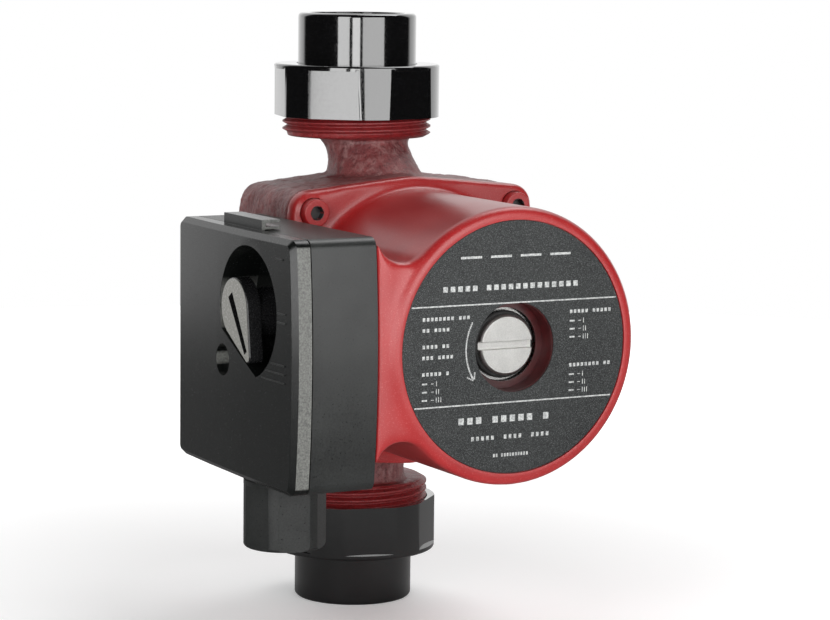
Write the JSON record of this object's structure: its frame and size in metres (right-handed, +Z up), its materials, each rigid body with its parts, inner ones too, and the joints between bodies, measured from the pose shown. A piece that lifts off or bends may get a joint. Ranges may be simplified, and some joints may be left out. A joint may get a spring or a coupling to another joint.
{
  "type": "circulator pump",
  "caption": "Wet-rotor heating circulator pump with screwed pipe unions, a terminal box with a speed knob, a cable gland and a vent screw.",
  "frame": {"origin": "centre of the open end of the lower tailpiece's socket, on the pipe axis", "axes": "+Z up the pipe axis towards the outlet, -Y out of the front of the motor, -X out of the terminal box cover"},
  "size_m": [0.1191, 0.131, 0.19],
  "materials": {
    "red_cast_iron": "painted, rough as cast",
    "red_aluminium": "painted, smooth satin",
    "black_union_iron": "gloss black paint",
    "black_box_plastic": "fine moulded texture",
    "black_knob_plastic": "smooth moulded",
    "nameplate_foil": "dark satin print",
    "nickel_plate": "satin nickel",
    "stainless_sheet": "drawn sheet",
    "zinc_steel": "zinc plated",
    "black_screw_steel": "blackened",
    "lamination_steel": "varnished laminations",
    "copper_winding": "enamelled copper",
    "terminal_brass": "machined",
    "carbon_bearing": "lapped carbon",
    "ceramic": "ground ceramic",
    "impeller_composite": "glass filled composite",
    "rubber_seal": "moulded EPDM",
    "white_insulator": "moulded",
    "lead_insulation": "silicone"
  },
  "bodies": {
    "pump": {"pump_housing": "red_cast_iron", "neck_ring": "stainless_sheet", "bearing_plate": "stainless_sheet", "can_gasket": "rubber_seal", "inner_bearing": "carbon_bearing", "outer_bearing": "carbon_bearing", "rotor_can": "stainless_sheet", "stator_core": "lamination_steel", "stator_windings": "copper_winding", "stator_housing": "red_aluminium", "housing_screws": "black_screw_steel", "nameplate": "nameplate_foil", "terminal_box_base": "black_box_plastic", "base_screws": "zinc_steel", "speed_switch": "white_insulator", "terminal_block": "white_insulator", "terminal_screws": "terminal_brass", "earth_terminal": "zinc_steel", "capacitor": "white_insulator", "lead_grommet": "rubber_seal", "winding_leads": "lead_insulation"},
    "rotor": {"rotor_core": "stainless_sheet", "shaft": "ceramic", "impeller": "impeller_composite", "impeller_cone": "stainless_sheet", "thrust_bearing": "carbon_bearing", "thrust_bearing_carrier": "rubber_seal"},
    "vent_seal": {"vent_o_ring": "rubber_seal"},
    "vent_plug": {"vent_screw": "nickel_plate"},
    "upper_union": {"upper_tailpiece": "black_union_iron", "upper_union_gasket": "rubber_seal"},
    "upper_nut": {"upper_union_nut": "black_union_iron"},
    "lower_union": {"lower_tailpiece": "black_union_iron", "lower_union_gasket": "rubber_seal"},
    "lower_nut": {"lower_union_nut": "black_union_iron"},
    "box_cover": {"terminal_box_cover": "black_box_plastic", "cover_screw": "zinc_steel"},
    "knob": {"speed_knob": "black_knob_plastic"},
    "spindle": {"switch_spindle": "white_insulator"},
    "gland_insert": {"gland_seal": "rubber_seal", "gland_washer": "white_insulator"},
    "gland_cap": {"gland_nut": "black_box_plastic"}
  },
  "joints": [
    {"name": "rotor_spin", "type": "hinge", "parent": "pump", "child": "rotor", "pos_m": [0, -0.06, 0.095], "axis": [0, -1, 0], "continuous": true},
    {"name": "vent_screw_travel", "type": "slide", "parent": "pump", "child": "vent_seal", "axis": [0, -1, 0], "range_m": [0, 0.0061]},
    {"name": "vent_screw_turn", "type": "hinge", "parent": "vent_seal", "child": "vent_plug", "pos_m": [0, -0.095, 0.095], "axis": [0, -1, 0], "range_deg": [0, 1440]},
    {"name": "upper_union_travel", "type": "slide", "parent": "pump", "child": "upper_union", "axis": [0, 0, 1], "range_m": [0, 0.0093]},
    {"name": "upper_nut_turn", "type": "hinge", "parent": "upper_union", "child": "upper_nut", "pos_m": [0, 0, 0.165], "axis": [0, 0, 1], "range_deg": [0, 1440]},
    {"name": "lower_union_travel", "type": "slide", "parent": "pump", "child": "lower_union", "axis": [0, 0, -1], "range_m": [0, 0.0093]},
    {"name": "lower_nut_turn", "type": "hinge", "parent": "lower_union", "child": "lower_nut", "pos_m": [0, 0, 0.025], "axis": [0, 0, -1], "range_deg": [0, 1440]},
    {"name": "cover_removal", "type": "slide", "parent": "pump", "child": "box_cover", "axis": [-1, 0, 0], "range_m": [0, 0.035]},
    {"name": "speed_knob_turn", "type": "hinge", "parent": "box_cover", "child": "knob", "pos_m": [-0.0655, -0.0683, 0.1043], "axis": [-1, 0, 0], "range_deg": [0, 92]},
    {"name": "switch_spindle_turn", "type": "hinge", "parent": "pump", "child": "spindle", "pos_m": [-0.057, -0.0683, 0.1043], "axis": [-1, 0, 0], "range_deg": [0, 92.5]},
    {"name": "gland_insert_travel", "type": "slide", "parent": "pump", "child": "gland_insert", "axis": [0, 0, -1], "range_m": [0, 0.0061]},
    {"name": "gland_nut_turn", "type": "hinge", "parent": "gland_insert", "child": "gland_cap", "pos_m": [-0.055, -0.063, 0.045], "axis": [0, 0, -1], "range_deg": [0, 1440]}
  ],
  "couplings": [
    {"joint": "vent_screw_travel", "follows": "vent_screw_turn", "m_per_rad": 0.00023873},
    {"joint": "upper_union_travel", "follows": "upper_nut_turn", "m_per_rad": 0.00036749},
    {"joint": "lower_union_travel", "follows": "lower_nut_turn", "m_per_rad": 0.00036749},
    {"joint": "gland_insert_travel", "follows": "gland_nut_turn", "m_per_rad": 0.00023873},
    {"joint": "switch_spindle_turn", "follows": "speed_knob_turn", "ratio": 1}
  ]
}
